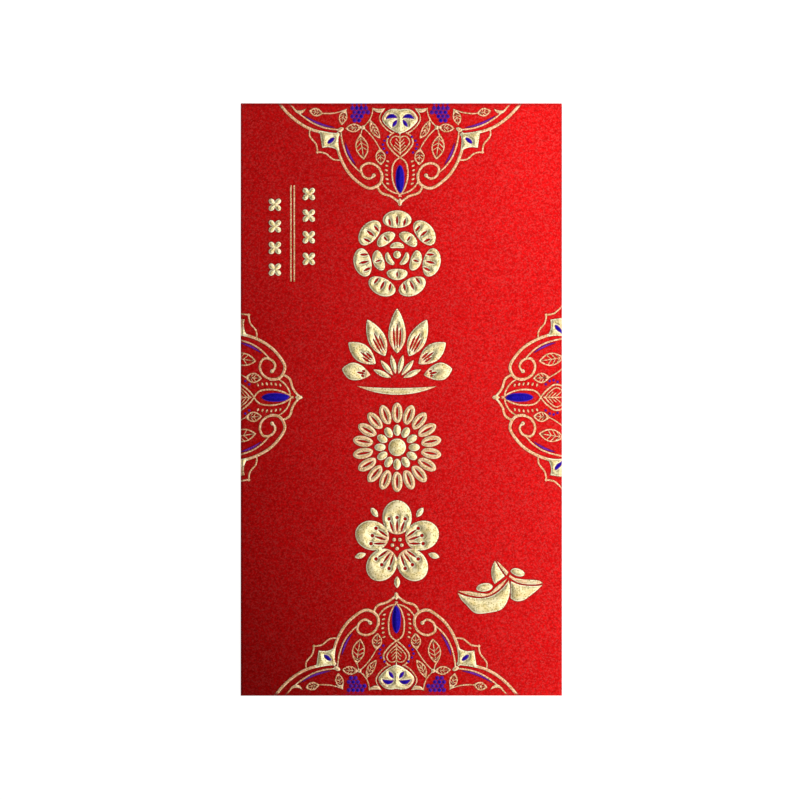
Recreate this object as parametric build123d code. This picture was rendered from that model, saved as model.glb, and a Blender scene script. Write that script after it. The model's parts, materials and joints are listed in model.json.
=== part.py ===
from build123d import *
import cmath
import math
import os

os.makedirs("parts", exist_ok=True)

# Red envelope, lying on its back: front toward +Z, top fold toward +Y, back on Z = 0. Sizes are in mm.
WIDTH = 90.0
HEIGHT = 166.0
CARD = 0.30
POCKET = 0.90
SEAM_GLUE = 0.05
FLAP_GLUE = 0.10
RELIEF = 0.40

# Back of the blank
SEAM_OVERLAP = 12.0
GLUE_MARGIN = 1.5
THROAT = 6.0
SHOULDER = 10.0
EDGE_CLEARANCE = 0.30
BOTTOM_FLAP = 20.0
TOP_FLAP = 27.0
FLAP_TAPER = 5.0
FLAP_ROUND = 8.0

# Medallions: how far each tip reaches in from its own edge, and how far its centre line is off the middle
TOP_REACH = 29.0
BOTTOM_REACH = 29.2
LEFT_REACH = 17.5
RIGHT_REACH = 19.7
TOP_SHIFT = -0.4
BOTTOM_SHIFT = -1.4
SIDE_SHIFT = 0.6
MEDALLION_UNIT = 1.0

# Line widths of the foil, and the smallest area that a stamping die holds
BOLD = 0.90
RIM = 0.72
FINE = 0.48
HAIR = 0.38
SPECK = 0.10

# Flowers fill the column between the top and bottom medallions
FLOWER_SHIFT = -1.2
FLOWER_CLEARANCE = 0.9

# Double rule and florets, from the left edge and down from the top
RULE_INSET = 14.55
RULE_DROP = 23.0
RULE_LENGTH = 27.0
RULE_SPACING = 0.95
RULE_WIDTH = 0.45
LEFT_FLORET_INSET = 9.6
LEFT_FLORET_DROP = 28.5
RIGHT_FLORET_INSET = 19.1
RIGHT_FLORET_DROP = 25.5
FLORET_PITCH = 6.05
FLORET_RADIUS = 2.25
FLORETS = 4

# Ingots, from the right edge and up from the bottom
INGOT_INSET = 22.25
INGOT_RISE = 28.15
INGOT_UNIT = 1.015

# Layers from the back up to the front, each named by its lower face
OUTER_Z = CARD + FLAP_GLUE
INNER_Z = OUTER_Z + CARD + SEAM_GLUE
FRONT_Z = INNER_Z + CARD + POCKET
STACK = FRONT_Z + CARD

# Outer radius of each crease, and the creases' lines round the front panel
END_FOLD = STACK / 2
LEFT_FOLD = (STACK - INNER_Z) / 2
RIGHT_FOLD = (STACK - OUTER_Z) / 2
X0 = LEFT_FOLD - WIDTH / 2
X1 = WIDTH / 2 - RIGHT_FOLD
Y0 = END_FOLD - HEIGHT / 2
Y1 = HEIGHT / 2 - END_FOLD


def face_of(*points):
    return make_face(Polyline(*points, close=True))


def layer(sketch, low, thickness):
    return extrude(Pos(0, 0, low) * sketch, amount=thickness)


def fold(origin, outward, along, radius, outline):
    # half a tube round a crease, mitred at both ends by its outline on the front
    half = Circle(radius) - Circle(radius - CARD)
    half &= Pos(radius / 2, 0) * Rectangle(radius, 2 * radius)
    tube = extrude(Plane(origin=origin, x_dir=outward, z_dir=along) * half, amount=HEIGHT + WIDTH, both=True)
    return tube & layer(face_of(*outline), 0, STACK)


def flap(depth, side):
    # tapered flap with round corners, under the back from the top crease (side -1) or the bottom one (side 1)
    crease = Y1 if side < 0 else Y0
    end = crease + side * depth
    outline = face_of((X0, crease), (X1, crease), (X1 - FLAP_TAPER, end), (X0 + FLAP_TAPER, end))
    corners = outline.vertices().group_by(Axis.Y)[0 if side < 0 else -1]
    return fillet(corners, FLAP_ROUND)


def back_panel(crease, seam, run):
    # from a side crease to its edge at the seam, with a sloping shoulder up to the crease's top
    low = Y0 + EDGE_CLEARANCE
    high = Y1 - THROAT
    return face_of((crease, low), (seam, low), (seam, high), (crease + run, high), (crease, Y1))


# Blank
top_left, top_right = (-WIDTH / 2, HEIGHT / 2), (WIDTH / 2, HEIGHT / 2)
low_left, low_right = (-WIDTH / 2, -HEIGHT / 2), (WIDTH / 2, -HEIGHT / 2)
front = face_of((X0, Y0), (X1, Y0), (X1, Y1), (X0, Y1))
left_panel = back_panel(X0, SEAM_OVERLAP / 2, SHOULDER)
right_panel = back_panel(X1, -SEAM_OVERLAP / 2, -SHOULDER)
bottom_outline = flap(BOTTOM_FLAP, 1)
parts = {
    "front_panel": layer(front, FRONT_Z, CARD),
    "left_back_panel": layer(left_panel, INNER_Z, CARD),
    "right_back_panel": layer(right_panel, OUTER_Z, CARD),
    "bottom_flap": layer(bottom_outline, 0, CARD),
    "top_flap": layer(flap(TOP_FLAP, -1), 0, CARD),
    "left_fold": fold(
        (X0, 0, STACK - LEFT_FOLD), (-1, 0, 0), (0, 1, 0), LEFT_FOLD,
        ((X0, Y0), low_left, top_left, (X0, Y1)),
    ),
    "right_fold": fold(
        (X1, 0, STACK - RIGHT_FOLD), (1, 0, 0), (0, 1, 0), RIGHT_FOLD,
        ((X1, Y0), low_right, top_right, (X1, Y1)),
    ),
    "bottom_fold": fold(
        (0, Y0, END_FOLD), (0, -1, 0), (1, 0, 0), END_FOLD,
        ((X0, Y0), low_left, low_right, (X1, Y0)),
    ),
    "top_fold": fold(
        (0, Y1, END_FOLD), (0, 1, 0), (1, 0, 0), END_FOLD,
        ((X0, Y1), top_left, top_right, (X1, Y1)),
    ),
}

# Glue: a line down the seam, and a pad under the bottom flap on each back panel
glue_low = Y0 + EDGE_CLEARANCE + GLUE_MARGIN
seam_high = Y1 - THROAT - GLUE_MARGIN
pad_high = Y0 + BOTTOM_FLAP - GLUE_MARGIN
pad_width = X1 - X0 - 2 * FLAP_TAPER - 2 * GLUE_MARGIN - FLAP_ROUND
seam_line = Rectangle(SEAM_OVERLAP - 2 * GLUE_MARGIN, seam_high - glue_low)
parts["seam_glue"] = layer(Pos(0, (glue_low + seam_high) / 2) * seam_line, OUTER_Z + CARD, SEAM_GLUE)
pad = Pos(0, (glue_low + pad_high) / 2) * Rectangle(pad_width, pad_high - glue_low)
pad &= bottom_outline
on_outer = layer(pad & right_panel, CARD, FLAP_GLUE)
on_inner = layer(pad - right_panel, CARD, INNER_Z - CARD)
parts["bottom_flap_glue"] = Compound(children=[on_outer, on_inner])


def smooth(points, steps=6):
    # a smooth curve through the points, with the direction of travel at each of its samples
    knots = [complex(*p) for p in points]
    spans = [b - a for a, b in zip(knots, knots[1:])]
    speeds = [s / abs(s) for s in spans]
    if len(knots) == 2:
        return [knots[0] + spans[0] * k / steps for k in range(steps + 1)], [speeds[0]] * (steps + 1)
    slopes = []
    for i in range(1, len(spans)):
        before, after = abs(spans[i - 1]), abs(spans[i])
        slopes.append((speeds[i - 1] * after + speeds[i] * before) / (before + after))
    slopes = [2 * speeds[0] - slopes[0], *slopes, 2 * speeds[-1] - slopes[-1]]
    places, ways = [], []
    for i, span in enumerate(spans):
        start, end = slopes[i] * abs(span), slopes[i + 1] * abs(span)
        for k in range(steps + (i == len(spans) - 1)):
            t = k / steps
            bend = start + end - 2 * span
            lean = 3 * span - 2 * start - end
            places.append(knots[i] + t * (start + t * (lean + t * bend)))
            ways.append(start + t * (2 * lean + 3 * t * bend))
    return places, [w / abs(w) for w in ways]


def curve(points):
    return Spline(*[(p.real, p.imag) for p in points])


def line(width, *points):
    # a stroke of one width with round ends
    places, ways = smooth(points)
    left = [p + 0.5j * width * w for p, w in zip(places, ways)]
    right = [p - 0.5j * width * w for p, w in zip(places, ways)]
    head = places[-1] + 0.5 * width * ways[-1]
    tail = places[0] - 0.5 * width * ways[0]
    ends = [
        ThreePointArc(*[(p.real, p.imag) for p in (left[-1], head, right[-1])]),
        ThreePointArc(*[(p.real, p.imag) for p in (right[0], tail, left[0])]),
    ]
    return make_face([curve(left), ends[0], curve(right[::-1]), ends[1]])


def swell(width, *points):
    # a stroke that is pointed at both ends and widest in the middle, such as a leaf
    places, ways = smooth(points)
    last = len(places) - 1
    half = [0.5 * width * math.sin(math.pi * k / last) ** 0.8 for k in range(last + 1)]
    left = [p + 1j * h * w for p, h, w in zip(places, half, ways)]
    right = [p - 1j * h * w for p, h, w in zip(places, half, ways)]
    return make_face([curve(left), curve(right[::-1])])


def bead(width, *points):
    # a rounded stroke, an oval that follows its path
    places, ways = smooth(points)
    last = len(places) - 1
    half = [0.5 * width * math.sqrt(1 - (2 * k / last - 1) ** 2) for k in range(last + 1)]
    left = [p + 1j * h * w for p, h, w in zip(places, half, ways)]
    right = [p - 1j * h * w for p, h, w in zip(places, half, ways)]
    ring = left + right[-2:0:-1]
    return make_face(Spline(*[(p.real, p.imag) for p in ring], periodic=True))


def between(upper, lower):
    # a solid patch between two curves that run the same way
    above, below = smooth(upper)[0], smooth(lower)[0]
    edges = [curve(above), curve(below)]
    for a, b in ((above[0], below[0]), (above[-1], below[-1])):
        if abs(a - b) > 0.01:
            edges.append(Line((a.real, a.imag), (b.real, b.imag)))
    return make_face(edges)


def dot(radius, x, y):
    return Pos(x, y) * Circle(radius)


def joined(faces):
    return Sketch() + faces


def both_halves(faces):
    return joined(faces + [mirror(f, about=Plane.YZ) for f in faces])


def leaf(pen, width, base, tip, bow):
    # outline, midrib and side veins of a leaf from its base to its tip, bowed to one side
    start, end = complex(*base), complex(*tip)
    way = (end - start) / abs(end - start)
    middle = (start + end) / 2 + 1j * bow * way
    spots = [start, middle, end, start + 2 * pen * way, end - 2 * pen * way, end - 1.5 * pen * way]
    start, middle, end, inner_start, inner_end, rib_end = [(p.real, p.imag) for p in spots]
    outline = swell(width, start, middle, end) - swell(width - 2 * pen, inner_start, middle, inner_end)
    strokes = [outline, line(0.8 * pen, start, middle, rib_end)]
    places, ways = smooth((start, middle, end))
    last = len(places) - 1
    for k in (2, 4, 6):
        half = 0.5 * width * math.sin(math.pi * (k + 2) / last) ** 0.8 - 0.5 * pen
        for side in (half, -half):
            margin = places[k + 2] + 1j * side * ways[k + 2]
            strokes.append(line(0.7 * pen, (places[k].real, places[k].imag), (margin.real, margin.imag)))
    return strokes


# Half of a medallion, in its own units: u out from its centre line, v from its tip toward the edge
bold, rim, fine, hair = [width / MEDALLION_UNIT for width in (BOLD, RIM, FINE, HAIR)]
half_gold = [
    line(bold, (34.6, 30.2), (30.9, 25.6), (26.0, 22.1), (20.0, 20.4), (17.2, 20.1)),
    line(
        bold, (17.4, 20.4), (17.6, 17.4), (16.4, 13.1), (12.3, 7.3), (8.0, 5.1), (5.4, 6.7), (5.1, 9.2),
    ),
    line(rim, (5.1, 9.0), (6.4, 11.3), (9.0, 12.1), (10.8, 11.0), (10.2, 8.5), (8.7, 7.8), (7.4, 8.5)),
    dot(0.60, 7.3, 8.7),
    line(fine, (31.9, 30.2), (27.7, 25.6), (21.9, 22.3), (17.1, 21.5)),
    bead(1.3, (15.7, 22.0), (17.5, 21.0)),
    line(fine, (16.5, 21.0), (15.9, 17.2), (14.4, 13.4), (10.6, 9.3)),
    line(rim, (6.2, 5.4), (5.3, 3.9), (2.6, 2.9), (-0.2, 0.6)),
    swell(1.3, (0.0, 2.4), (0.0, 0.0)),
    line(fine, (5.0, 6.8), (3.6, 5.0), (0.7, 3.6)),
    line(fine, (-0.2, 13.8), (1.6, 12.4), (2.2, 9.3), (1.5, 5.6), (-0.2, 2.9)),
    line(fine, (-0.2, 13.6), (2.3, 15.7), (3.6, 17.8), (3.2, 19.5), (1.8, 20.6)),
    line(hair, (-0.2, 14.9), (1.8, 16.5), (2.7, 18.2), (1.9, 19.5), (-0.2, 19.2)),
    line(hair, (2.0, 20.5), (4.6, 22.5), (5.7, 24.6), (4.6, 26.9)),
    swell(1.2, (4.0, 27.6), (5.9, 26.8), (7.9, 27.7)),
    line(hair, (7.6, 27.5), (8.2, 24.8), (10.3, 22.3)),
    line(hair, (10.1, 21.9), (7.4, 19.0), (5.5, 15.8)),
    line(hair, (10.5, 22.0), (11.1, 19.6)),
    dot(0.62, 10.3, 22.1),
    *leaf(hair, 3.7, (11.2, 20.2), (10.1, 13.1), 0.0),
    *leaf(hair, 2.9, (5.6, 16.3), (5.3, 11.5), 0.0),
    *leaf(hair, 2.2, (8.3, 24.2), (5.5, 19.0), 0.3),
    *leaf(hair, 2.5, (10.6, 22.2), (15.3, 21.8), 0.0),
    *leaf(hair, 2.4, (15.0, 27.0), (16.3, 22.7), 0.3),
    line(hair, (15.0, 27.2), (18.1, 26.2), (21.9, 26.1)),
    *leaf(hair, 2.4, (21.5, 26.0), (25.5, 26.8), 0.0),
    swell(1.0, (26.2, 27.5), (28.0, 26.4), (30.0, 27.5)),
    line(fine, (25.2, 21.6), (25.3, 20.0), (23.4, 17.2), (23.1, 15.0)),
    line(fine, (23.3, 15.2), (21.0, 14.9), (18.4, 13.1), (16.8, 13.0)),
    between([(17.5, 20.4), (20.0, 20.35), (22.5, 20.9)], [(17.4, 15.6), (19.7, 16.5), (21.8, 16.3)]),
]
for k in range(6):
    x, y = 3.4 + 0.4 * math.sin(0.6 * k), 6.4 + 1.25 * k
    half_gold.append(bead(0.6, (x - 0.45, y - 0.2), (x + 0.45, y + 0.2)))
for k in range(3):
    half_gold.append(line(0.7 * hair, (0.0, 15.8 + 0.9 * k), (1.5 - 0.2 * k, 17.1 + 0.9 * k)))
dome = between(
    [(0.0, 20.3), (3.0, 21.8), (5.1, 24.5), (3.9, 26.6), (0.0, 27.2)],
    [(0.0, 20.3), (-3.0, 21.8), (-5.1, 24.5), (-3.9, 26.6), (0.0, 27.2)],
)

# Blue and violet of the same half: core, petals, gem, grapes, shading lines and dots
core = bead(2.5, (0.0, 3.9), (0.0, 11.6))
petals = [swell(1.1, (0.8, 24.8), (2.4, 25.3), (3.9, 24.5)), swell(0.9, (0.8, 24.2), (2.1, 22.3))]
half_inlay = [
    *petals,
    bead(1.0, (18.4, 19.2), (20.2, 17.7)),
    swell(0.7, (27.0, 25.6), (22.4, 23.1), (18.0, 22.1)),
    swell(0.7, (15.3, 18.0), (14.3, 14.8), (12.2, 11.5)),
]
half_inlay += [dot(0.34, 2.4 + 2.4 * math.sin(0.55 * k), 14.0 + 1.1 * k) for k in range(1, 6)]
for row, berries in enumerate((2, 3, 4, 4, 4)):
    for column in range(berries):
        x, y = 12.7 + 0.6 * (row % 2) - 1.25 * column, 24.1 + 1.13 * row
        half_inlay.append(bead(1.16, (x - 0.25, y + 0.53), (x + 0.25, y - 0.53)))

spine = line(hair, (0.0, 14.6), (0.0, 20.6))
inlay = both_halves(half_inlay) + core
gold = both_halves(half_gold) + spine + dome - inlay
inlay = scale(inlay, MEDALLION_UNIT)
gold = scale(gold, MEDALLION_UNIT)
places = {
    "top": Pos(TOP_SHIFT, HEIGHT / 2 - TOP_REACH),
    "bottom": Pos(BOTTOM_SHIFT, BOTTOM_REACH - HEIGHT / 2) * Rot(0, 0, 180),
    "left": Pos(LEFT_REACH - WIDTH / 2, SIDE_SHIFT) * Rot(0, 0, 90),
    "right": Pos(WIDTH / 2 - RIGHT_REACH, SIDE_SHIFT) * Rot(0, 0, -90),
}


def stamped(sketch):
    # raised foil on the front of the card, without specks too small for a die to hold
    kept = Sketch(children=[f for f in sketch.faces() if f.area > SPECK])
    return layer(kept, STACK, RELIEF)


for edge, place in places.items():
    parts[edge + "_medallion_foil"] = stamped((place * gold) & front)
    parts[edge + "_medallion_inlay"] = stamped((place * inlay) & front)


def polar(radius, degrees):
    spot = cmath.rect(radius, math.radians(90 - degrees))
    return spot.real, spot.imag


def arc_petal(thick, radius, middle, span):
    # a petal of a ring, bent round the flower's centre
    return bead(thick, *[polar(radius, middle + span * k / 4) for k in (-2, -1, 0, 1, 2)])


def ray(width, inner, outer, degrees):
    # a pointed stroke along a radius
    return swell(width, polar(inner, degrees), polar(outer, degrees))


# Flowers of the four seasons, each about its own centre, in shares of the flower's radius
PITCH = (HEIGHT - TOP_REACH - BOTTOM_REACH) / 4
R = PITCH / 2 - FLOWER_CLEARANCE
peony = []
for k in range(7):
    turn = 360 / 7 * k
    veins = [ray(0.045 * R, 0.66 * R, 0.86 * R - 0.003 * R * abs(lean), turn + lean) for lean in (-13, 0, 13)]
    peony.append(arc_petal(0.40 * R, 0.79 * R, turn, 47) - veins)
for k in range(5):
    turn = 72 * k + 36
    peony.append(arc_petal(0.26 * R, 0.44 * R, turn, 62) - ray(0.035 * R, 0.38 * R, 0.50 * R, turn))
peony += [arc_petal(0.14 * R, 0.215 * R, 120 * k, 92) for k in range(3)]
peony.append(dot(0.09 * R, 0, 0))

lotus = []
for turn, tip in ((0, 1.62), (26, 1.52), (52, 1.38), (78, 1.26)):
    for side in (1, -1)[: 1 + (turn > 0)]:
        way = side * turn
        petal = swell(0.4 * R, *[polar(r * R, way) for r in (0.6, 1.0, tip)])
        veins = [ray(0.04 * R, 0.74 * R, (tip - 0.35 - abs(lean) / 40) * R, way + lean) for lean in (-4, 0, 4)]
        lotus.append(petal - veins)
lotus += [ray(0.13 * R, 0.14 * R, 0.6 * R, turn) for turn in (-65, -39, -13, 13, 39, 65)]
lotus.append(swell(0.16 * R, (-0.9 * R, -0.12 * R), (0, -0.24 * R), (0.9 * R, -0.12 * R)))
lotus = [Pos(0, -0.66 * R) * face for face in lotus]

chrysanthemum = []
for k in range(18):
    petal = bead(0.25 * R, polar(0.54 * R, 20 * k), polar(R, 20 * k))
    chrysanthemum.append(petal - ray(0.045 * R, 0.62 * R, 0.90 * R, 20 * k))
chrysanthemum += [bead(0.18 * R, polar(0.25 * R, 30 * k), polar(0.51 * R, 30 * k)) for k in range(12)]
chrysanthemum.append(dot(0.2 * R, 0, 0))

plum = []
for k in range(5):
    petal = bead(0.66 * R, polar(0.2 * R, 72 * k), polar(0.97 * R, 72 * k))
    stamens = [ray(0.04 * R, 0.27 * R, 0.52 * R, 72 * k + lean) for lean in (-18, 0, 18)]
    tips = [dot(0.035 * R, *polar(0.58 * R, 72 * k + lean)) for lean in (-18, 0, 18)]
    plum.append(petal - stamens - tips)
plum += [dot(0.045 * R, *polar(0.11 * R, 72 * k + 36)) for k in range(5)]
plum += [swell(0.14 * R, polar(0.72 * R, 72 * k + 36), polar(R, 72 * k + 36)) for k in range(5)]

flowers = {"peony": peony, "lotus": lotus, "chrysanthemum": chrysanthemum, "plum": plum}
for k, (name, petals) in enumerate(flowers.items()):
    middle = Pos(FLOWER_SHIFT, HEIGHT / 2 - TOP_REACH - (k + 0.5) * PITCH)
    parts[name + "_foil"] = stamped(middle * joined(petals))

# Double rule with a column of florets on each side
rule = Pos(0, HEIGHT / 2 - RULE_DROP - RULE_LENGTH / 2) * Rectangle(RULE_WIDTH, RULE_LENGTH)
rules = [Pos(RULE_INSET - WIDTH / 2 + side * RULE_SPACING / 2, 0) * rule for side in (-1, 1)]
parts["double_rule_foil"] = stamped(joined(rules))
r = FLORET_RADIUS
lobes = [bead(0.72 * r, polar(0.12 * r, 90 * k + 45), polar(r, 90 * k + 45)) for k in range(4)]
floret = joined([*lobes, dot(0.3 * r, 0, 0)])
columns = {
    "left": (LEFT_FLORET_INSET, LEFT_FLORET_DROP),
    "right": (RIGHT_FLORET_INSET, RIGHT_FLORET_DROP),
}
for side, (inset, drop) in columns.items():
    column = [Pos(inset - WIDTH / 2, HEIGHT / 2 - drop - k * FLORET_PITCH) * floret for k in range(FLORETS)]
    parts[side + "_floret_foil"] = stamped(joined(column))

# Ingots, in their own units: a boat with upturned tips, the rim of its hollow and the round knob inside it
front_ingot = joined(
    [
        between(
            [(-7.0, 0.9), (-3.7, -0.35), (-0.3, -0.65), (2.9, 0.2), (5.3, 2.0), (7.2, 4.4)],
            [
                (-7.0, 0.9), (-6.2, -0.8), (-4.4, -2.8), (-2.3, -4.8), (1.7, -4.8),
                (5.4, -3.7), (7.2, -0.7), (7.2, 4.4),
            ],
        ),
        between(
            [(-6.95, 1.3), (-3.8, 1.2), (-0.8, 0.75), (1.6, 0.65), (3.9, 2.6), (6.8, 4.8)],
            [(-6.95, 1.3), (-2.9, -0.12), (0.1, -0.38), (2.85, 0.52), (5.2, 2.4), (6.8, 4.8)],
        ),
        bead(2.4, (-1.8, 1.95), (2.8, 2.55)),
    ]
)
rear_ingot = joined(
    [
        between([(3.4, 9.7), (4.8, 7.3), (6.2, 5.3)], [(3.4, 9.7), (2.3, 6.6), (3.3, 3.1)]),
        between([(3.7, 9.8), (5.7, 8.0), (7.2, 6.4)], [(3.7, 9.8), (5.05, 7.4), (6.55, 5.4)]),
        between(
            [(7.5, 5.9), (8.6, 5.1), (10.4, 4.6), (13.4, 4.4), (15.7, 4.1), (16.7, 3.4)],
            [(7.1, 5.2), (8.7, 4.0), (10.4, 3.3), (13.2, 3.0), (15.5, 3.1), (16.7, 3.4)],
        ),
        between(
            [(7.65, 4.1), (8.9, 3.5), (10.4, 3.02), (13.2, 2.72), (15.5, 2.8), (16.7, 3.05)],
            [(7.65, -0.8), (9.2, -1.6), (11.1, -1.4), (13.4, 0.1), (16.7, 3.05)],
        ),
        bead(2.2, (7.7, 7.0), (11.6, 5.8)),
    ]
)
spot = Pos(WIDTH / 2 - INGOT_INSET, INGOT_RISE - HEIGHT / 2)
parts["front_ingot_foil"] = stamped(spot * scale(front_ingot, INGOT_UNIT))
parts["rear_ingot_foil"] = stamped(spot * scale(rear_ingot, INGOT_UNIT))

for name, solid in parts.items():
    export_step(solid, f"parts/{name}.step")
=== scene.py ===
import json
import math

import bmesh
import bpy
import numpy as np
from mathutils import Matrix, Vector
from mathutils.bvhtree import BVHTree
from mathutils.geometry import delaunay_2d_cdt
from mathutils.kdtree import KDTree


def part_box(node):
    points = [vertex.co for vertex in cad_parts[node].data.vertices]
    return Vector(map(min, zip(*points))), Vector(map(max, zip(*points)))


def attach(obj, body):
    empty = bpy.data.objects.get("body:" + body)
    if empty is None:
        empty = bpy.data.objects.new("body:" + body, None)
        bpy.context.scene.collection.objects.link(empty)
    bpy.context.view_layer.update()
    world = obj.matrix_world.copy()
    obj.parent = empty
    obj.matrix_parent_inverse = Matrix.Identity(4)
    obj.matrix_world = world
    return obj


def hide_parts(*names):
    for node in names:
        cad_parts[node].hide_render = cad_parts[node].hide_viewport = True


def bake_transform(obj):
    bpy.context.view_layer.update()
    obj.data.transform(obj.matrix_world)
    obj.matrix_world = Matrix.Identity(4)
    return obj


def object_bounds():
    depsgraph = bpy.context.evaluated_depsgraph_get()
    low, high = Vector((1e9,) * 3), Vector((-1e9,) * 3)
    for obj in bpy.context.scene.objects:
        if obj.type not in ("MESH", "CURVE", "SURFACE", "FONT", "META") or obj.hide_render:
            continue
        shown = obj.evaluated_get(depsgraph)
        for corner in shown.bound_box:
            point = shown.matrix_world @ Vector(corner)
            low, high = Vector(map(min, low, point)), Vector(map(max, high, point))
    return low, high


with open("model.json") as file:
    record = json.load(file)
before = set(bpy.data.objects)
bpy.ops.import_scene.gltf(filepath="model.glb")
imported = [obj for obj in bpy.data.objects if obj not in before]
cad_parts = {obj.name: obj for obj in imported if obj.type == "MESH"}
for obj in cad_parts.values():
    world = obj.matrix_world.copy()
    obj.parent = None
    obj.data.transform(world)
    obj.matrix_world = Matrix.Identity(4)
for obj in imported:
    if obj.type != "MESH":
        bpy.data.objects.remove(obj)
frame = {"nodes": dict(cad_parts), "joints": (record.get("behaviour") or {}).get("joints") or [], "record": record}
cad_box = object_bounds()
MM = 0.001

# The card's main faces and edges, from the frame
PANEL_LOW, PANEL_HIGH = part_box("front_panel")
FACE_Z = PANEL_HIGH.z
CARD = PANEL_HIGH.z - PANEL_LOW.z
HINGE = Vector(frame["joints"][0]["pos_m"])
BODY, FLAP = "sleeve", "flap"

# Creases round the front: the axis that crosses each one, its line, its side and its outer radius
CREASES = {
    "left": (0, PANEL_LOW.x, -1, PANEL_LOW.x - cad_box[0].x),
    "right": (0, PANEL_HIGH.x, 1, cad_box[1].x - PANEL_HIGH.x),
    "bottom": (1, PANEL_LOW.y, -1, PANEL_LOW.y - cad_box[0].y),
    "top": (1, PANEL_HIGH.y, 1, cad_box[1].y - PANEL_HIGH.y),
}

# Photograph: its scale on the front, and the place of its centre on the envelope
PIXELS = 800
PIXELS_PER_MM = 3.574
VIEW_X = -0.385 * MM
VIEW_Y = -0.14 * MM
LENS = 135.0
SENSOR = 36.0
CLIP_END = 200.0

# Relief of the foil: its height, where the bands of its section end, inward from the outline, and their share
RELIEF = cad_box[1].z - FACE_Z
LIP = 0.05 * MM
FLANGE = 0.30 * MM
SHOULDER = 0.68 * MM
CROWN = 3.0 * MM
FLANGE_SHARE = 0.16
SHOULDER_SHARE = 0.62

# Mesh of the foil: the spacing of its points, and how it is measured, smoothed and welded
STEP = 0.17 * MM
RINGS = (LIP, 0.16 * MM, FLANGE, 0.42 * MM, 0.56 * MM)
GRID = 0.26 * MM
RING_SHARE = 0.93
ROW_SHARE = 0.866
NEAREST = 4
SMOOTHING = 1
SPREAD = 6
TOUCH = 0.0005 * MM
FACE_DEPTH = 0.01 * MM
SLIVER = 1e-14
SAME_POINT = 1e-9
SHARP = math.radians(40)

# How far the foil follows a crease, how much of its height is left there, how far its gold turns darker and redder
# there, and its steepest slant
WRAP_TURN = math.radians(76)
WRAP_STEPS = 6
WRAP_LEFT = 0.06
SIDE_CREASE_DARKENING, END_CREASE_DARKENING = 0.15, 0.95
CREASE_DARKENING_RISE = 2.5
STEEPEST = 2.0
BEND_STEPS = 24

# Blue inlay: a dot's greatest length, a strip's least length in widths, and how violet the dots are
DOT_LENGTH = 1.6 * MM
STRIP_RATIO = 5
DOT_VIOLET = 0.25
DOT_VARIETY = 7.0


# Shader helpers

def new_material(name):
    material = bpy.data.materials.new(name)
    material.use_nodes = True
    tree = material.node_tree
    return material, tree, tree.nodes["Principled BSDF"]


def add(tree, kind, inputs=None, **settings):
    made = tree.nodes.new("ShaderNode" + kind)
    for key, value in settings.items():
        setattr(made, key, value)
    for key, value in (inputs or {}).items():
        if isinstance(value, bpy.types.NodeSocket):
            tree.links.new(value, made.inputs[key])
        else:
            made.inputs[key].default_value = value
    return made


def mix(tree, factor, first, second):
    made = tree.nodes.new("ShaderNodeMix")
    made.data_type = "RGBA"
    for index, value in ((0, factor), (6, first), (7, second)):
        if isinstance(value, bpy.types.NodeSocket):
            tree.links.new(value, made.inputs[index])
        else:
            made.inputs[index].default_value = value
    return made.outputs[2]


def span(tree, value, low, high, to_low=0.0, to_high=1.0):
    made = add(tree, "MapRange", {"Value": value, "From Min": low, "From Max": high,
                                  "To Min": to_low, "To Max": to_high}, clamp=True)
    return made.outputs["Result"]


def noise(tree, coords, size, detail, roughness):
    made = add(tree, "TexNoise", {"Vector": coords, "Scale": 1 / size,
                                  "Detail": detail, "Roughness": roughness})
    return made.outputs["Fac"]


def cells(tree, coords, size):
    # cells of about one size: how far a point is from its cell's middle, and a chance number for each cell
    made = add(tree, "TexVoronoi", {"Vector": coords, "Scale": 1 / size})
    chance = add(tree, "SeparateColor", {"Color": made.outputs["Color"]}).outputs["Red"]
    return made.outputs["Distance"], chance


def maths(tree, operation, first, second):
    return add(tree, "Math", {0: first, 1: second}, operation=operation).outputs[0]


def seen(tree):
    # 1 for a ray that shows what it hits: from the camera, or by way of metal or glass
    rays = add(tree, "LightPath").outputs
    direct = maths(tree, "MAXIMUM", rays["Is Camera Ray"], rays["Is Glossy Ray"])
    return maths(tree, "MAXIMUM", direct, rays["Is Transmission Ray"])


def bump(tree, height, strength, distance):
    made = add(tree, "Bump", {"Height": height, "Strength": strength, "Distance": distance})
    return made.outputs["Normal"]


def grey(tree, value):
    return add(tree, "CombineColor", {"Red": value, "Green": value, "Blue": value}).outputs["Color"]


def value_of(tree, key):
    return add(tree, "Attribute", attribute_name=key).outputs["Fac"]


def colour(red, green, blue):
    return (red, green, blue, 1.0)


# Colours of the card, the foils and the glue
DYE_DARK = colour(0.48, 0.001, 0.001)
DYE_BRIGHT = colour(0.90, 0.004, 0.005)
DYE_CLOUD = colour(0.60, 0.002, 0.003)
# painted glint: the pinker colour of the pearl flakes stands in for their sparkle
PEARL_PAINTED_GLINT = colour(0.76, 0.062, 0.056)
# painted shade: dark red laid on the stamped front in the corners along its foil
CARD_PAINTED_SHADE = colour(0.10, 0.0, 0.0)
GOLD_PALE = colour(0.88, 0.77, 0.46)
GOLD_WORN = colour(0.72, 0.56, 0.24)
# painted highlight: the paler flat flange along the foil's outline
GOLD_FLANGE_HIGHLIGHT = colour(0.96, 0.88, 0.62)
STROKE_PALE = colour(1.00, 0.67, 0.41)
STROKE_WORN = colour(0.70, 0.23, 0.09)
GOLD_PIT = colour(0.36, 0.27, 0.06)
# painted shade: the dark red-brown at the foil's outer edge
GOLD_FOOT_SHADE = colour(0.20, 0.02, 0.01)
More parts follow.
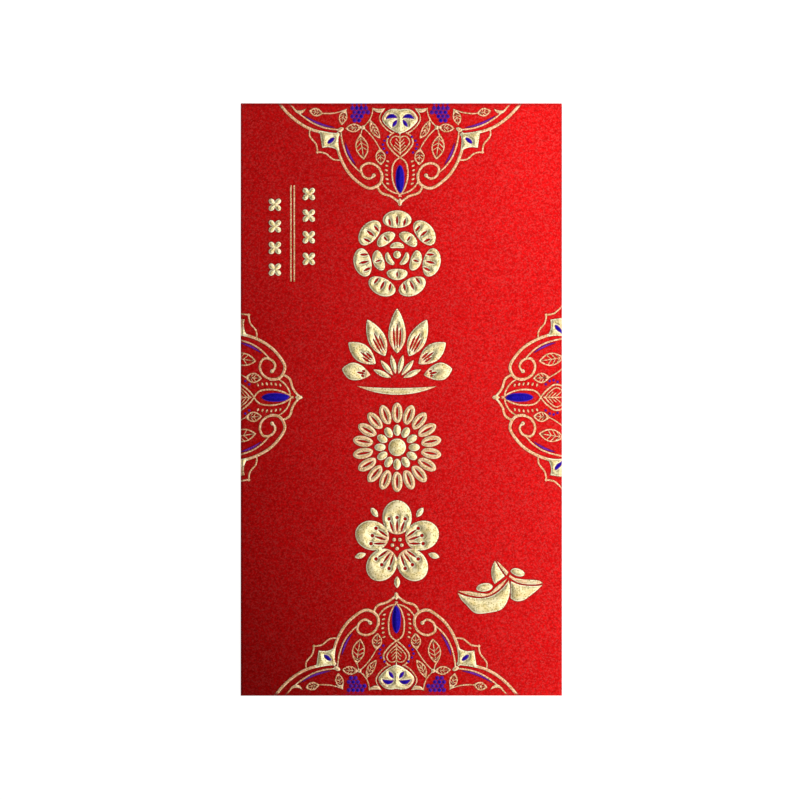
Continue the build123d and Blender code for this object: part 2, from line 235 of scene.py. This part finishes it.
# darker and redder where the foil goes over a crease
GOLD_OVER_CREASE = colour(0.36, 0.01, 0.01)
BLUE_DARK = colour(0.003, 0.000, 0.20)
BLUE_BRIGHT = colour(0.014, 0.003, 0.42)
BLUE_EDGE = colour(0.20, 0.03, 0.42)
VIOLET_DARK = colour(0.08, 0.006, 0.22)
VIOLET_BRIGHT = colour(0.24, 0.028, 0.40)
VIOLET_EDGE = colour(0.09, 0.002, 0.03)
GLUE_DARK = colour(0.80, 0.72, 0.52)
GLUE_PALE = colour(0.90, 0.86, 0.72)
WHITE = colour(1, 1, 1)
FLOOR_GREY = colour(0.80, 0.80, 0.80)

# Grain of the card, the foils and the glue
CARD_GRAIN = 0.70 * MM
CARD_CLOUD = 9.0 * MM
CARD_FLAKE = 0.30 * MM
CARD_BUMP = 0.05 * MM
# reach of the painted shade along the foil
PAINTED_SHADE_REACH = 1.5 * MM
GOLD_GRAIN = 0.36 * MM
GOLD_PATCH = 1.5 * MM
GOLD_CELL = 0.48 * MM
BLUE_GRAIN = 0.40 * MM
FOIL_BUMP = 0.04 * MM
GLUE_STREAK = 2.0 * MM

# Half widths of the foil: a thin stroke and a wide shape, and the widest that the dark foot grows with
THIN = 0.40 * MM
WIDE = 0.75 * MM
FOOT_GROWTH = 0.5 * MM
BLUE_FRINGE = (0.05 * MM, 0.20 * MM)


# Materials

def pearl_card(name, stamped):
    # dyed card with pearl flakes painted as pinker glints; a stamped face also gets painted shade, darker in the
    # corners along its foil
    material, tree, shader = new_material(name)
    coords = add(tree, "TexCoord").outputs["Object"]
    grain = noise(tree, coords, CARD_GRAIN, 2.0, 0.6)
    cloud = noise(tree, coords, CARD_CLOUD, 3.0, 0.5)
    _, flake = cells(tree, coords, CARD_FLAKE)
    dyed = mix(tree, span(tree, grain, 0.30, 0.70), DYE_DARK, DYE_BRIGHT)
    clouded = mix(tree, span(tree, cloud, 0.35, 0.65, 0.0, 0.3), dyed, DYE_CLOUD)
    # painted glint: half of the flake cells turn pinker
    tone = mix(tree, span(tree, flake, 0.50, 1.0, 0.0, 0.5), clouded, PEARL_PAINTED_GLINT)
    if stamped:
        # painted shade: ambient occlusion darkens the upward face near the raised foil
        corner = add(tree, "AmbientOcclusion", {"Distance": PAINTED_SHADE_REACH}, samples=16).outputs["AO"]
        up = add(tree, "SeparateXYZ", {"Vector": add(tree, "TexCoord").outputs["Normal"]}).outputs["Z"]
        near = span(tree, corner, 0.90, 0.995, 0.85, 0.0)
        tone = mix(tree, maths(tree, "MULTIPLY", near, span(tree, up, 0.5, 0.9)), tone, CARD_PAINTED_SHADE)
    tree.links.new(tone, shader.inputs["Base Color"])
    tree.links.new(span(tree, flake, 0.0, 1.0, 0.60, 0.40), shader.inputs["Roughness"])
    shader.inputs["Specular IOR Level"].default_value = 0.06
    tree.links.new(bump(tree, grain, 0.40, CARD_BUMP), shader.inputs["Normal"])
    return material


def gold_foil():
    # pale worn gold with pits, redder on thin strokes, with a painted highlight on its flat flange, painted shade
    # at its foot, and darker and redder over the creases
    material, tree, shader = new_material("champagne_gold_foil")
    coords = add(tree, "TexCoord").outputs["Object"]
    rim, breadth, crease = [value_of(tree, key) for key in ("rim", "breadth", "crease")]
    grain = noise(tree, coords, GOLD_GRAIN, 3.0, 0.7)
    patches = noise(tree, coords, GOLD_PATCH, 2.0, 0.5)
    off_middle, chance = cells(tree, coords, GOLD_CELL)
    pit = span(tree, off_middle, 0.20, 0.55, 1.0, 0.0)
    pits = maths(tree, "MULTIPLY", pit, span(tree, chance, 0.20, 0.55))
    thin = span(tree, breadth, THIN, WIDE, 1.0, 0.0)
    worn = mix(tree, span(tree, patches, 0.35, 0.68), GOLD_PALE, GOLD_WORN)
    # painted highlight: paler gold on the flat flange
    wide = mix(tree, span(tree, rim, FLANGE, 1.3 * FLANGE, 0.85, 0.0), worn, GOLD_FLANGE_HIGHLIGHT)
    stroke = mix(tree, span(tree, grain, 0.42, 0.60), STROKE_PALE, STROKE_WORN)
    gold = mix(tree, thin, wide, stroke)
    pitted = mix(tree, span(tree, pits, 0.0, 1.0, 0.0, 0.85), gold, GOLD_PIT)
    inward = maths(tree, "DIVIDE", rim, maths(tree, "MINIMUM", breadth, FOOT_GROWTH))
    # painted shade: dark at the foot of the foil, wider on wider shapes
    footed = mix(tree, span(tree, inward, 0.08, 0.30, 1.0, 0.0), pitted, GOLD_FOOT_SHADE)
    # darker and redder over the creases
    tree.links.new(mix(tree, crease, footed, GOLD_OVER_CREASE), shader.inputs["Base Color"])
    left = span(tree, crease, 0.0, 1.0, 1.0, 0.2)
    shine = maths(tree, "MULTIPLY", left, span(tree, thin, 0.0, 1.0, 0.85, 0.50))
    tree.links.new(shine, shader.inputs["Metallic"])
    shader.inputs["Specular IOR Level"].default_value = 0.10
    tree.links.new(span(tree, grain, 0.3, 0.7, 0.24, 0.42), shader.inputs["Roughness"])
    rough = maths(tree, "SUBTRACT", grain, pits)
    tree.links.new(bump(tree, rough, 0.50, FOIL_BUMP), shader.inputs["Normal"])
    return material


def blue_foil():
    # blue on the large shapes and violet on the strips, each with its own edge
    material, tree, shader = new_material("blue_violet_foil")
    coords = add(tree, "TexCoord").outputs["Object"]
    rim, violet, crease = [value_of(tree, key) for key in ("rim", "violet", "crease")]
    grain = noise(tree, coords, BLUE_GRAIN, 2.0, 0.6)
    speckle = span(tree, grain, 0.35, 0.68)
    deep = mix(tree, speckle, BLUE_DARK, BLUE_BRIGHT)
    lilac = mix(tree, speckle, VIOLET_DARK, VIOLET_BRIGHT)
    fringe = span(tree, rim, *BLUE_FRINGE, 0.8, 0.0)
    edged = mix(tree, fringe, deep, BLUE_EDGE)
    faded = mix(tree, fringe, lilac, VIOLET_EDGE)
    inlaid = mix(tree, violet, edged, faded)
    tone = mix(tree, span(tree, crease, 0.0, 1.0, 0.0, 0.5), inlaid, deep)
    tree.links.new(tone, shader.inputs["Base Color"])
    shader.inputs["Metallic"].default_value = 0.55
    shader.inputs["Specular IOR Level"].default_value = 0.15
    tree.links.new(span(tree, grain, 0.3, 0.7, 0.25, 0.45), shader.inputs["Roughness"])
    tree.links.new(bump(tree, grain, 0.3, FOIL_BUMP), shader.inputs["Normal"])
    return material


def dry_glue():
    material, tree, shader = new_material("dry_glue")
    coords = add(tree, "TexCoord").outputs["Object"]
    streak = span(tree, noise(tree, coords, GLUE_STREAK, 3.0, 0.6), 0.3, 0.7)
    tree.links.new(mix(tree, streak, GLUE_DARK, GLUE_PALE), shader.inputs["Base Color"])
    tree.links.new(span(tree, streak, 0.0, 1.0, 0.35, 0.6), shader.inputs["Roughness"])
    return material


CARD_MATERIAL = pearl_card("pearl_red_card", False)
# the front: pearl card with painted shade along its foil
FRONT_MATERIAL = pearl_card("pearl_red_card_painted_shade", True)
GOLD = gold_foil()
BLUE = blue_foil()
GLUE = dry_glue()


# Raised foil: each flat stamped outline of the frame becomes a puffed, closed skin

def upper_face(node):
    # points in the plane and triangles of a node's flat upper face
    mesh = frame["nodes"][node].data
    mesh.calc_loop_triangles()
    spots = np.array([v.co for v in mesh.vertices])
    corners = np.array([t.vertices for t in mesh.loop_triangles])
    flat = np.all(spots[corners, 2] > spots[:, 2].max() - FACE_DEPTH, axis=1)
    points, index = np.unique(np.round(spots[:, :2], 6), axis=0, return_inverse=True)
    triangles = index.ravel()[corners[flat]]
    a, b, c = points[triangles[:, 0]], points[triangles[:, 1]], points[triangles[:, 2]]
    area = (b[:, 0] - a[:, 0]) * (c[:, 1] - a[:, 1]) - (b[:, 1] - a[:, 1]) * (c[:, 0] - a[:, 0])
    triangles = np.where(area[:, None] < 0, triangles[:, ::-1], triangles)
    return points, triangles[np.abs(area) > SLIVER]


def rim_of(points, triangles):
    # the outline in short steps: their ends, and the pairs that they join with the inside on the left
    sides = [(int(t[k]), int(t[k - 2])) for t in triangles for k in range(3)]
    found = set(sides)
    border = [(a, b) for a, b in sides if (b, a) not in found]
    used = sorted({a for side in border for a in side})
    place = {a: k for k, a in enumerate(used)}
    ends = [points[a] for a in used]
    steps = []
    for a, b in border:
        count = max(1, math.ceil(np.linalg.norm(points[b] - points[a]) / STEP))
        chain = [place[a]]
        for k in range(1, count):
            chain.append(len(ends))
            ends.append(points[a] + (points[b] - points[a]) * k / count)
        chain.append(place[b])
        steps += list(zip(chain, chain[1:]))
    return np.array(ends), np.array(steps)


def crease_of(ends, steps):
    # the name of the crease that each step of the outline is cut by, or nothing
    names = np.full(len(steps), "", dtype=object)
    for name, (axis, line, _, _) in CREASES.items():
        near = np.abs(ends[:, axis] - line) < TOUCH
        names[near[steps[:, 0]] & near[steps[:, 1]]] = name
    return names


def gaps_to(ends, steps):
    # a function that gives how far each of some points is from the outline
    starts = ends[steps[:, 0]]
    ways = ends[steps[:, 1]] - starts
    squares = np.sum(ways ** 2, axis=1)
    tree = KDTree(len(steps))
    for k, (x, y) in enumerate(starts + ways / 2):
        tree.insert((x, y, 0), k)
    tree.balance()

    def gaps(spots):
        found = [tree.find_n((x, y, 0), NEAREST) for x, y in spots]
        near = np.array([[hit[1] for hit in row] for row in found], dtype=int).reshape(len(spots), -1)
        lead = spots[:, None, :] - starts[near]
        along = np.clip(np.sum(lead * ways[near], axis=2) / squares[near], 0, 1)
        return np.linalg.norm(lead - along[..., None] * ways[near], axis=2).min(axis=1)

    return gaps


def filled(points, steps, inside):
    # triangles inside an outline, and the triangulation's number for each given point
    sides = [tuple(step) for step in steps.tolist()]
    made = delaunay_2d_cdt([Vector(p) for p in points], sides, [], 1, SAME_POINT)
    places = np.array([tuple(v) for v in made[0]])
    faces = np.array(made[2])
    place_of = {given: k for k, ids in enumerate(made[3]) for given in ids}
    return places, faces[inside(places[faces].mean(axis=1))], place_of


def puffed(gaps):
    # height of the foil at a distance from its outline: a low flat flange, a steep shoulder and a round crown
    lip = FLANGE_SHARE * np.clip(gaps / LIP, 0, 1)
    climb = np.clip((gaps - FLANGE) / (SHOULDER - FLANGE), 0, 1)
    slope = (SHOULDER_SHARE - FLANGE_SHARE) * climb ** 2 * (3 - 2 * climb)
    rise = np.clip((gaps - SHOULDER) / (CROWN - SHOULDER), 0, 1)
    crown = (1 - SHOULDER_SHARE) * np.sin(0.5 * math.pi * rise)
    return RELIEF * (lip + slope + crown)


def sides_of(faces):
    # each pair of points that a triangle joins, once
    pairs = np.concatenate([faces[:, [0, 1]], faces[:, [1, 2]], faces[:, [2, 0]]])
    return np.unique(np.sort(pairs, axis=1), axis=0)


def breadths(rims, sides):
    # the foil's half width near each point
    wide = rims
    for _ in range(SPREAD):
        grown = wide.copy()
        np.maximum.at(grown, sides[:, 0], wide[sides[:, 1]])
        np.maximum.at(grown, sides[:, 1], wide[sides[:, 0]])
        wide = grown
    return wide


def smoothed(heights, sides, free):
    # heights drawn toward their neighbours, with the outline held down
    links = np.maximum(np.bincount(sides.ravel(), minlength=len(heights)), 1)
    for _ in range(SMOOTHING):
        total = np.bincount(sides[:, 0], heights[sides[:, 1]], len(heights))
        total += np.bincount(sides[:, 1], heights[sides[:, 0]], len(heights))
        heights = np.where(free, 0.5 * heights + 0.5 * total / links, 0.0)
    return heights


def inner_spots(points, ends, outline, gaps, inside):
    # points for the relief: rings that follow the outline, then an even grid
    starts, finishes = ends[outline[:, 0]], ends[outline[:, 1]]
    ways = finishes - starts
    normals = np.stack([-ways[:, 1], ways[:, 0]], axis=1) / np.linalg.norm(ways, axis=1)[:, None]
    kept = []
    for ring in RINGS:
        row = (starts + finishes) / 2 + normals * ring
        row = row[gaps(row) > RING_SHARE * ring]
        kept.append(row[inside(row)])
    low, high = points.min(axis=0), points.max(axis=0)
    wide, tall = (high - low) / GRID
    columns, rows = np.meshgrid(np.arange(wide), np.arange(tall / ROW_SHARE))
    shifted = columns + 0.5 * (rows % 2)
    grid = np.stack([shifted.ravel() * GRID, rows.ravel() * GRID * ROW_SHARE], axis=1) + low
    grid = grid[inside(grid)]
    kept.append(grid[gaps(grid) > RINGS[-1] + 0.5 * GRID])
    return np.concatenate(kept)


def make_piece(name, spots, faces, values, material):
    # a welded mesh with the values of its points for the material
    mesh = bpy.data.meshes.new(name)
    mesh.from_pydata(spots, [], faces)
    for key, numbers in values.items():
        mesh.attributes.new(key, "FLOAT", "POINT").data.foreach_set("value", numbers)
    work = bmesh.new()
    work.from_mesh(mesh)
    bmesh.ops.remove_doubles(work, verts=work.verts, dist=TOUCH)
    work.to_mesh(mesh)
    work.free()
    mesh.shade_smooth()
    mesh.set_sharp_from_angle(angle=SHARP)
    mesh.materials.append(material)
    piece = bpy.data.objects.new(name, mesh)
    bpy.context.scene.collection.objects.link(piece)
    return piece


def violets(places, faces):
    # strips are violet, large shapes are blue, and small dots and berries vary
    root = list(range(len(places)))

    def top(k):
        while root[k] != k:
            root[k] = root[root[k]]
            k = root[k]
        return k

    for a, b, c in faces.tolist():
        root[top(a)] = top(b)
        root[top(b)] = top(c)
    owner = np.array([top(k) for k in range(len(places))])
    shade = np.zeros(len(places))
    for turn, number in enumerate(np.unique(owner)):
        own = owner == number
        xy = places[own]
        if len(xy) < 3:
            continue
        width, length = 4 * np.sqrt(np.maximum(np.linalg.eigvalsh(np.cov(xy.T)), 0))
        if length < DOT_LENGTH:
            shade[own] = DOT_VIOLET * (1 + math.sin(DOT_VARIETY * turn))
        elif length > STRIP_RATIO * width:
            shade[own] = 1.0
    return shade


def slants_of(chain, sides, places, axis, side):
    # how far each stroke runs along its crease for each millimetre that it runs over it
    lean = {}
    for a, b in sides:
        way = places[b] - places[a]
        if abs(way[axis]) > TOUCH:
            tilt = float(np.clip(side * way[1 - axis] / way[axis], -STEEPEST, STEEPEST))
            lean.setdefault(a, tilt)
            lean.setdefault(b, tilt)
    after = dict(chain)
    slants = {}
    for first in after.keys() - after.values():
        run = [first]
        while run[-1] in after:
            run.append(after[run[-1]])
        tilts = np.linspace(lean.get(run[0], 0.0), lean.get(run[-1], 0.0), len(run))
        slants.update(zip(run, tilts))
    return slants


def wrap_foil(label, name, chain, slants, places, heights, shades, material):
    # the foil's own strip over a crease, from the front panel's edge round toward the back
    axis, line, side, radius = CREASES[name]
    used = sorted({a for step in chain for a in step})
    column = {a: k for k, a in enumerate(used)}
    spots = []
    for raised in (1, 0):
        for k in range(WRAP_STEPS + 1):
            turn = WRAP_TURN * k / WRAP_STEPS
            left = raised * (1 - (1 - WRAP_LEFT) * (k / WRAP_STEPS) ** 2)
            for a in used:
                reach = radius + left * heights[a]
                spot = [*places[a], FACE_Z - radius + reach * math.cos(turn)]
                spot[axis] = line + side * reach * math.sin(turn)
                spot[1 - axis] += slants[a] * radius * turn
                spots.append(spot)
    count = len(used)
    low = count * (WRAP_STEPS + 1)
    last = count * WRAP_STEPS
    faces = []
    for a, b in [(column[a], column[b]) for a, b in chain]:
        for k in range(0, last, count):
            faces.append((b + k, a + k, a + k + count, b + k + count))
            faces.append((low + a + k, low + b + k, low + b + k + count, low + a + k + count))
        faces.append((a, b, low + b, low + a))
        faces.append((b + last, a + last, low + a + last, low + b + last))
    values = {key: np.tile(shade[used], 2 * (WRAP_STEPS + 1)) for key, shade in shades.items()}
    # how far the foil darkens along its strip over the crease
    darkening = (SIDE_CREASE_DARKENING, END_CREASE_DARKENING)[axis] * np.minimum(CREASE_DARKENING_RISE * np.arange(WRAP_STEPS + 1) / WRAP_STEPS, 1)
    values["crease"] = np.tile(np.repeat(darkening, count), 2)
    piece = make_piece(label, spots, faces, values, material)
    if name == "top":
        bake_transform(piece)
    else:
        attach(piece, BODY)


def foil_piece(node, material):
    # one ornament: a puffed skin over its outline, closed below, and a strip over each crease that cuts it
    points, triangles = upper_face(node)
    ends, steps = rim_of(points, triangles)
    crease = crease_of(ends, steps)
    gaps = gaps_to(ends, steps[crease == ""])
    solid = BVHTree.FromPolygons([(x, y, 0) for x, y in points], triangles.tolist())

    def inside(spots):
        hits = [solid.ray_cast((x, y, 1), (0, 0, -1))[0] is not None for x, y in spots]
        return np.array(hits, dtype=bool)

    extra = inner_spots(points, ends, steps[crease == ""], gaps, inside)
    places, faces, place_of = filled(np.concatenate([ends, extra]), steps, inside)
    rims = gaps(places)
    sides = sides_of(faces)
    heights = smoothed(puffed(rims), sides, rims > TOUCH)
    under, under_faces, under_of = filled(ends, steps, inside)
    count = len(places)
    spots = [(x, y, FACE_Z + h) for (x, y), h in zip(places, heights)]
    spots += [(x, y, FACE_Z) for x, y in under]
    walls = []
    for a, b in steps[crease != ""]:
        walls.append((place_of[b], place_of[a], count + under_of[a], count + under_of[b]))
    skin = faces.tolist() + (count + under_faces[:, ::-1]).tolist() + walls
    shades = {"rim": rims, "breadth": breadths(rims, sides), "violet": violets(places, faces)}
    values = {key: np.concatenate([shade, np.zeros(len(under))]) for key, shade in shades.items()}
    piece = make_piece(node + "_puffed", spots, skin, values, material)
    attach(piece, BODY)
    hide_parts(node)
    edges = [(place_of[a], place_of[b]) for a, b in steps[crease == ""]]
    for name, (axis, _, side, _) in CREASES.items():
        chain = [(place_of[a], place_of[b]) for a, b in steps[crease == name]]
        if chain:
            slants = slants_of(chain, edges, places, axis, side)
            wrap_foil(node + "_wrap", name, chain, slants, places, heights, shades, material)


def bent_fold():
    # the crease of the top flap: half a tube of card, mitred at both ends
    outer = CREASES["top"][3]
    turns = [math.pi * k / BEND_STEPS for k in range(BEND_STEPS + 1)]
    section = [(outer * math.sin(t), outer * math.cos(t)) for t in turns]
    section += [((outer - CARD) * math.sin(t), (outer - CARD) * math.cos(t)) for t in reversed(turns)]
    spots = []
    for edge, limit in ((PANEL_LOW.x, cad_box[0].x), (PANEL_HIGH.x, cad_box[1].x)):
        for y, z in section:
            spots.append((edge + (limit - edge) * y / outer, PANEL_HIGH.y + y, HINGE.z + z))
    count = len(section)
    faces = [tuple(range(count)), tuple(reversed(range(count, 2 * count)))]
    for k in range(count):
        after = (k + 1) % count
        faces.append((k, k + count, after + count, after))
    piece = make_piece("top_fold_bend", spots, faces, {}, CARD_MATERIAL)
    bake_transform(piece)
    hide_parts("top_fold")


# Every node of the frame gets its finish, or a piece in its place
FINISHES = {"front_panel": FRONT_MATERIAL, "seam_glue": GLUE, "bottom_flap_glue": GLUE}
for row in frame["record"]["subparts"]:
    node, slot = row["node"], row["material_slot"]
    if slot == "gold_foil":
        foil_piece(node, GOLD)
    elif slot == "blue_foil":
        foil_piece(node, BLUE)
    else:
        part = frame["nodes"][node]
        part.data.materials.clear()
        part.data.materials.append(FINISHES.get(node, CARD_MATERIAL))
bent_fold()


# Floor: plain white, with the envelope's own shadow on it

def white_floor():
    half = 40.0
    level = -0.02 * MM
    glow = 0.95
    mesh = bpy.data.meshes.new("floor")
    corners = [(-half, -half, level), (half, -half, level), (half, half, level), (-half, half, level)]
    mesh.from_pydata(corners, [], [(0, 1, 2, 3)])
    material, tree, shader = new_material("white_floor")
    shader.inputs["Base Color"].default_value = FLOOR_GREY
    shader.inputs["Roughness"].default_value = 0.9
    shader.inputs["Specular IOR Level"].default_value = 0.0
    shader.inputs["Emission Color"].default_value = WHITE
    tree.links.new(maths(tree, "MULTIPLY", seen(tree), glow), shader.inputs["Emission Strength"])
    mesh.materials.append(material)
    floor = bpy.data.objects.new("floor", mesh)
    bpy.context.scene.collection.objects.link(floor)


white_floor()


# Light: a window on the right, a weak lamp at the upper right and a studio that is paler on the right

def lamp(name, place, aim, width, height, watts):
    # a soft lamp that lights the card, and isn't mirrored in the foil
    data = bpy.data.lights.new(name, "AREA")
    data.shape = "RECTANGLE"
    data.size = width
    data.size_y = height
    data.energy = watts
    made = bpy.data.objects.new(name, data)
    made.location = place
    back = (Vector(place) - Vector(aim)).normalized()
    across = Vector((0, 1, 0)).cross(back).normalized()
    made.rotation_euler = Matrix((across, back.cross(across), back)).transposed().to_euler()
    made.visible_glossy = False
    bpy.context.scene.collection.objects.link(made)


lamp("window", place=(0.090, -0.090, 0.150), aim=(0.238, 0.026, 0), width=0.20, height=0.55, watts=0.90)
lamp("corner", place=(0.118, 0.075, 0.100), aim=(0.193, 0, 0), width=0.25, height=0.08, watts=0.06)


def studio():
    # a white horizon, walls and a ceiling, by the direction that a ray goes
    fill = 0.12
    world = bpy.data.worlds.new("studio")
    bpy.context.scene.world = world
    world.use_nodes = True
    tree = world.node_tree
    ground = tree.nodes["Background"]
    way = add(tree, "SeparateXYZ", {"Vector": add(tree, "TexCoord").outputs["Generated"]}).outputs
    wall = grey(tree, span(tree, way["X"], -0.3, 0.5, 0.30, 1.60))
    ceiling = grey(tree, span(tree, way["X"], -0.06, 0.06, 0.45, 2.2))
    room = mix(tree, span(tree, way["Z"], 0.90, 0.96), wall, ceiling)
    tree.links.new(mix(tree, span(tree, way["Z"], 0.10, 0.22), WHITE, room), ground.inputs["Color"])
    tree.links.new(span(tree, seen(tree), 0.0, 1.0, fill, 1.0), ground.inputs["Strength"])


studio()


# Camera, straight above the front

def camera():
    data = bpy.data.cameras.new("camera")
    data.lens = LENS
    data.sensor_width = SENSOR
    data.clip_end = CLIP_END
    made = bpy.data.objects.new("camera", data)
    width = PIXELS / PIXELS_PER_MM * MM
    made.location = (VIEW_X, VIEW_Y, FACE_Z + width * LENS / SENSOR)
    bpy.context.scene.collection.objects.link(made)
    bpy.context.scene.camera = made


camera()
bpy.context.scene.view_settings.view_transform = "Standard"
